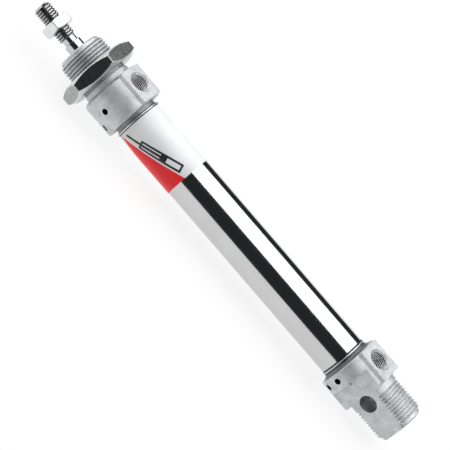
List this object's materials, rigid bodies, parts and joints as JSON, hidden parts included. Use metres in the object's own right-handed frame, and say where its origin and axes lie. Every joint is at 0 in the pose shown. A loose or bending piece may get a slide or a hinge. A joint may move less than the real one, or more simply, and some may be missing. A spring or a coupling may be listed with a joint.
{
  "type": "pneumatic cylinder",
  "caption": "Double-acting round pneumatic cylinder with a threaded rod and neck, side air ports, adjustable end cushions, a mounting nut and a rear pivot eye.",
  "frame": {"origin": "centre of the rear pivot hole, on the cylinder's axis", "axes": "+X along the cylinder's axis towards the rod's threaded end, +Y along the pivot hole, +Z out of both air ports"},
  "size_m": [0.2317, 0.037, 0.0326],
  "materials": {
    "cap_aluminium": "satin, finely blasted, machined faces brighter",
    "tube_steel": "polished stainless, drawn lengthwise",
    "label_film": "printed film, white with a red wedge",
    "rod_steel": "hard chromed, ground and polished",
    "neck_nut_steel": "bright, machined faces",
    "rod_nut_steel": "bright zinc plated",
    "screw_steel": "bright turned",
    "retainer_steel": "satin",
    "piston_aluminium": "turned",
    "cushion_aluminium": "turned, smooth",
    "seal_rubber": "moulded nitrile, dull black",
    "bumper_rubber": "moulded, dull",
    "bush_bronze": "sintered, oil filled",
    "guide_plastic": "filled PTFE strip",
    "magnet_ferrite": "plastic-bonded ferrite"
  },
  "bodies": {
    "barrel": {"rear_cap": "cap_aluminium", "front_cap": "cap_aluminium", "cylinder_tube": "tube_steel", "tube_label": "label_film", "rod_bush": "bush_bronze", "rod_seal": "seal_rubber", "seal_retainer": "retainer_steel", "rear_tube_o_ring": "seal_rubber", "front_tube_o_ring": "seal_rubber", "rear_cushion_seal": "seal_rubber", "front_cushion_seal": "seal_rubber"},
    "piston_seals": {"rear_piston_seal": "seal_rubber", "front_piston_seal": "seal_rubber", "guide_ring": "guide_plastic"},
    "rod": {"piston_rod": "rod_steel", "rear_piston_half": "piston_aluminium", "front_piston_half": "piston_aluminium", "piston_o_ring": "seal_rubber", "magnet_ring": "magnet_ferrite", "rear_bumper": "bumper_rubber", "front_bumper": "bumper_rubber", "rear_cushion_spear": "cushion_aluminium", "front_cushion_sleeve": "cushion_aluminium"},
    "rod_nut": {"rod_nut": "rod_nut_steel"},
    "neck_nut": {"neck_nut": "neck_nut_steel"},
    "rear_screw": {"rear_cushion_screw": "screw_steel", "rear_screw_o_ring": "seal_rubber"},
    "front_screw": {"front_cushion_screw": "screw_steel", "front_screw_o_ring": "seal_rubber"}
  },
  "joints": [
    {"name": "rod_slide", "type": "slide", "parent": "barrel", "child": "piston_seals", "axis": [1, 0, 0], "range_m": [0, 0.1]},
    {"name": "rod_turn", "type": "hinge", "parent": "piston_seals", "child": "rod", "pos_m": [0.037, 0, 0], "axis": [1, 0, 0], "continuous": true},
    {"name": "rod_nut_turn", "type": "hinge", "parent": "rod", "child": "rod_nut", "pos_m": [0.20445, 0, 0], "axis": [1, 0, 0], "continuous": true},
    {"name": "neck_nut_turn", "type": "hinge", "parent": "barrel", "child": "neck_nut", "pos_m": [0.1781, 0, 0], "axis": [1, 0, 0], "continuous": true},
    {"name": "rear_screw_turn", "type": "hinge", "parent": "barrel", "child": "rear_screw", "pos_m": [0.0158, 0.009, -0.00541], "axis": [0, 0.8572, -0.515], "range_deg": [0, 720]},
    {"name": "front_screw_turn", "type": "hinge", "parent": "barrel", "child": "front_screw", "pos_m": [0.1586, 0.00986, -0.00592], "axis": [0, 0.8572, -0.515], "range_deg": [0, 720]}
  ]
}
